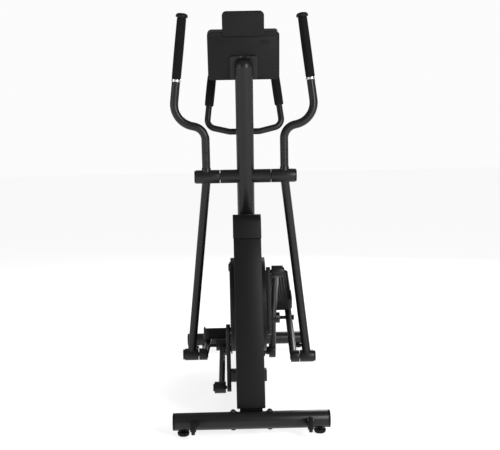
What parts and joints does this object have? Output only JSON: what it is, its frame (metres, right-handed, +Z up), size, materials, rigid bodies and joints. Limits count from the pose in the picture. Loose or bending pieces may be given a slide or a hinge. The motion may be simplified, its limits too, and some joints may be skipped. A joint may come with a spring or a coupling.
{
  "type": "elliptical trainer",
  "caption": "Front-drive elliptical trainer with swinging upper handles, pedal bars on a crank and rocker linkage, a fixed handlebar and a console on a leaning mast.",
  "frame": {"origin": "on the floor, under the middle of the bounding box", "axes": "+X to the right seen from the front, +Y from the front towards the user, +Z up"},
  "size_m": [0.586, 1.537, 1.4877],
  "materials": {
    "frame_paint": "satin black powder coat",
    "arm_paint": "satin black powder coat",
    "case_plastic": "fine-textured black plastic",
    "pedal_plastic": "ribbed black plastic",
    "foam": "matte black foam",
    "trim": "black cap with a bright collar",
    "bright_steel": "blackened and zinc-plated steel",
    "cast_wheel": "turned cast iron",
    "rubber": "black rubber",
    "screen": "dark glossy display window",
    "keys": "grey soft-touch keys"
  },
  "bodies": {
    "frame": {"front_stabilizer": "frame_paint", "rear_stabilizer": "frame_paint", "main_spine": "frame_paint", "mid_support": "frame_paint", "rear_upright": "frame_paint", "mast": "frame_paint", "pivot_tube": "frame_paint", "console_bracket": "frame_paint", "fixed_handlebar": "frame_paint", "lower_post": "frame_paint", "frame_plates": "frame_paint", "wheel_brackets": "frame_paint", "casing_left": "case_plastic", "casing_right": "case_plastic", "casing_band": "case_plastic", "casing_hood": "case_plastic", "console_back": "case_plastic", "console_front": "case_plastic", "tablet_holder": "case_plastic", "stabilizer_caps": "case_plastic", "foam_grips": "foam", "pivot_axle": "bright_steel", "rear_pivot_axle": "bright_steel", "crank_bearings": "bright_steel", "flywheel_axle": "bright_steel", "stabilizer_bolts": "bright_steel", "levelling_feet": "rubber", "drive_belt": "rubber", "console_screen": "screen"},
    "crankset": {"crank_axle": "bright_steel", "crank_pulley": "case_plastic", "crank_arm_left": "arm_paint", "crank_arm_right": "arm_paint"},
    "flywheel_body": {"flywheel": "cast_wheel"},
    "magnet_body": {"magnet_arm": "bright_steel"},
    "key_minus": {"button_minus": "keys"},
    "key_start": {"button_start": "keys"},
    "key_plus": {"button_plus": "keys"},
    "wheel_left": {"transport_wheel_left": "rubber"},
    "arm_left": {"swing_arm_left": "arm_paint", "arm_handle_left": "arm_paint", "handle_grip_left": "foam", "grip_trim_left": "trim"},
    "bar_left": {"pedal_bar_left": "arm_paint", "pedal_bar_bolts_left": "bright_steel", "pedal_left": "pedal_plastic"},
    "link_left": {"connecting_link_left": "arm_paint", "crank_pin_left": "bright_steel"},
    "rocker_left": {"rocker_left": "arm_paint"},
    "wheel_right": {"transport_wheel_right": "rubber"},
    "arm_right": {"swing_arm_right": "arm_paint", "arm_handle_right": "arm_paint", "handle_grip_right": "foam", "grip_trim_right": "trim"},
    "bar_right": {"pedal_bar_right": "arm_paint", "pedal_bar_bolts_right": "bright_steel", "pedal_right": "pedal_plastic"},
    "link_right": {"connecting_link_right": "arm_paint", "crank_pin_right": "bright_steel"},
    "rocker_right": {"rocker_right": "arm_paint"}
  },
  "joints": [
    {"name": "crank_spin", "type": "hinge", "parent": "frame", "child": "crankset", "pos_m": [0, -0.3415, 0.3], "axis": [1, 0, 0], "continuous": true},
    {"name": "flywheel_spin", "type": "hinge", "parent": "frame", "child": "flywheel_body", "pos_m": [0, -0.3815, 0.552], "axis": [1, 0, 0], "continuous": true},
    {"name": "magnet_swing", "type": "hinge", "parent": "frame", "child": "magnet_body", "pos_m": [0, -0.34071, 0.452], "axis": [1, 0, 0], "range_deg": [-6, 0]},
    {"name": "swing_left", "type": "hinge", "parent": "frame", "child": "arm_left", "pos_m": [0, -0.3315, 0.883], "axis": [1, 0, 0], "range_deg": [-17, 13]},
    {"name": "swing_right", "type": "hinge", "parent": "frame", "child": "arm_right", "pos_m": [0, -0.3315, 0.883], "axis": [1, 0, 0], "range_deg": [-13, 17]},
    {"name": "foot_left", "type": "hinge", "parent": "arm_left", "child": "bar_left", "pos_m": [0, -0.24392, 0.1885], "axis": [1, 0, 0], "range_deg": [-18.85, 24.65]},
    {"name": "knee_left", "type": "hinge", "parent": "bar_left", "child": "link_left", "pos_m": [0, 0.05464, 0.15921], "axis": [1, 0, 0], "range_deg": [-10.2, 7.8]},
    {"name": "rocker_swing_left", "type": "hinge", "parent": "frame", "child": "rocker_left", "pos_m": [0, 0.1885, 0.475], "axis": [1, 0, 0], "range_deg": [-35.7, 27.3]},
    {"name": "foot_right", "type": "hinge", "parent": "arm_right", "child": "bar_right", "pos_m": [0, -0.29555, 0.18392], "axis": [1, 0, 0], "range_deg": [-24.65, 18.85]},
    {"name": "knee_right", "type": "hinge", "parent": "bar_right", "child": "link_right", "pos_m": [0, -0.01318, 0.28526], "axis": [1, 0, 0], "range_deg": [-7.8, 10.2]},
    {"name": "rocker_swing_right", "type": "hinge", "parent": "frame", "child": "rocker_right", "pos_m": [0, 0.1885, 0.475], "axis": [1, 0, 0], "range_deg": [-27.3, 35.7]},
    {"name": "wheel_spin_left", "type": "hinge", "parent": "frame", "child": "wheel_left", "pos_m": [-0.199, -0.7415, 0.047], "axis": [1, 0, 0], "continuous": true},
    {"name": "wheel_spin_right", "type": "hinge", "parent": "frame", "child": "wheel_right", "pos_m": [0.199, -0.7415, 0.047], "axis": [1, 0, 0], "continuous": true},
    {"name": "press_minus", "type": "slide", "parent": "frame", "child": "key_minus", "axis": [0, -0.9397, -0.342], "range_m": [0, 0.0015], "stiffness_N_per_m": 600},
    {"name": "press_start", "type": "slide", "parent": "frame", "child": "key_start", "axis": [0, -0.9397, -0.342], "range_m": [0, 0.0015], "stiffness_N_per_m": 600},
    {"name": "press_plus", "type": "slide", "parent": "frame", "child": "key_plus", "axis": [0, -0.9397, -0.342], "range_m": [0, 0.0015], "stiffness_N_per_m": 600}
  ],
  "couplings": [
    {"joint": "flywheel_spin", "follows": "crank_spin", "ratio": 6.0417},
    {"joint": "swing_right", "follows": "swing_left", "ratio": -1},
    {"joint": "foot_left", "follows": "swing_left", "ratio": -1.45},
    {"joint": "knee_left", "follows": "swing_left", "ratio": 0.6},
    {"joint": "rocker_swing_left", "follows": "swing_left", "ratio": 2.1},
    {"joint": "foot_right", "follows": "swing_left", "ratio": 1.45},
    {"joint": "knee_right", "follows": "swing_left", "ratio": -0.6},
    {"joint": "rocker_swing_right", "follows": "swing_left", "ratio": -2.1}
  ]
}
